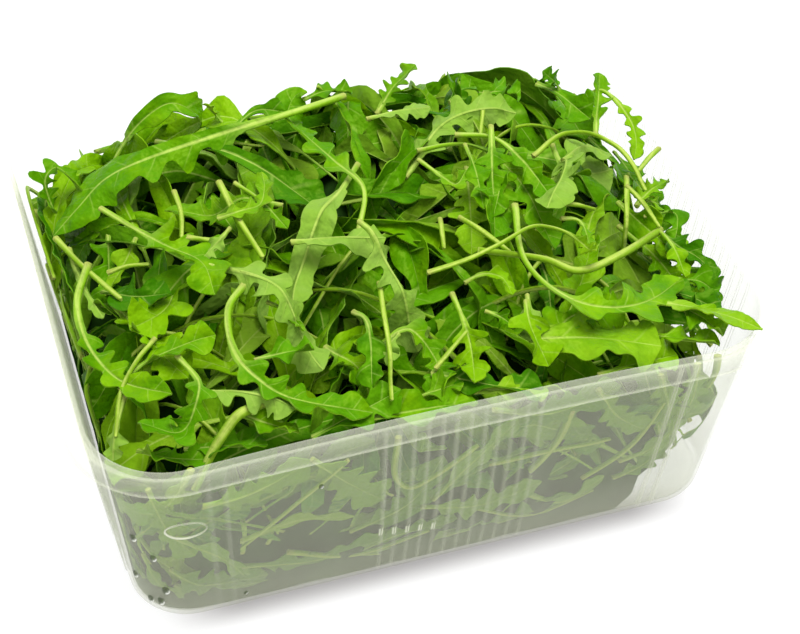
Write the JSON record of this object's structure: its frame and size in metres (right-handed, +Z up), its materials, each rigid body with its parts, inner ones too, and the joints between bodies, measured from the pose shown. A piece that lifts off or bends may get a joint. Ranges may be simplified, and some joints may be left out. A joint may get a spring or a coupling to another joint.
{
  "type": "tub of loose arugula leaves",
  "caption": "Clear ribbed rectangular food tub with a rolled rim, heaped with loose, lobed arugula leaves and stalks.",
  "frame": {"origin": "middle of the tub's flat foot, on the surface that it stands on", "axes": "+Z up out of the mouth, +X along the tub's long side, -Y towards the front long wall"},
  "size_m": [0.212, 0.179, 0.1009],
  "materials": {
    "clear_plastic": "clear, slightly milky thin polypropylene",
    "leaf_green": "smooth leaf blade, satin",
    "leaf_dark": "smooth leaf blade, satin",
    "leaf_pale": "matt underside of the leaf",
    "leaf_lime": "young leaf blade, satin",
    "stalk": "smooth, slightly waxy stalk"
  },
  "bodies": {
    "root": {"tub": "clear_plastic", "packed_leaves": "leaf_dark", "leaf_back_dark": "leaf_dark", "leaf_back_fold": "leaf_dark", "leaf_back_right": "leaf_dark", "leaf_left_arc": "leaf_green", "leaf_left_fan": "leaf_green", "leaf_front_middle": "leaf_green", "leaf_grey_middle": "leaf_pale", "leaf_right_curl": "leaf_dark", "leaf_centre_lime": "leaf_lime", "leaf_left_middle": "leaf_green", "leaf_right_grey": "leaf_pale", "leaf_front_rim": "leaf_lime", "leaf_left_lime": "leaf_lime", "leaf_corner_curl": "leaf_green", "leaf_back_arch": "leaf_green", "leaf_left_trail": "leaf_green", "leaf_pale_under": "leaf_pale", "leaf_pale_flat": "leaf_pale", "leaf_right_edge": "leaf_green", "leaf_right_lime": "leaf_lime", "leaf_right_upright": "leaf_green", "leaf_right_curly": "leaf_green", "leaf_tooth_up": "leaf_lime", "leaf_centre_arch": "leaf_green", "leaf_centre_hang": "leaf_green", "leaf_pale_wave": "leaf_pale", "leaf_midrib": "leaf_pale", "leaf_front_left_arc": "leaf_green", "leaf_serrated": "leaf_pale", "stalk_front_kinked": "stalk", "leaf_front_grey": "leaf_pale", "leaf_front_hook": "leaf_green", "leaf_front_small_arc": "leaf_green", "leaf_front_drop": "leaf_green", "leaf_front_right_big": "leaf_lime", "leaf_front_right_arch": "leaf_green", "leaf_corner_point": "leaf_lime", "stalk_left_pale": "stalk", "stalk_left_bright": "stalk", "leaf_back_long": "leaf_green", "leaf_kinked": "leaf_green", "stalk_back_end": "stalk", "leaf_right_arc": "leaf_green", "stalk_right_upright": "stalk", "stalk_right_arch": "stalk", "stalk_right_thick": "stalk", "stalk_ribbon": "stalk", "stalk_front_bright": "stalk"}
  },
  "joints": []
}
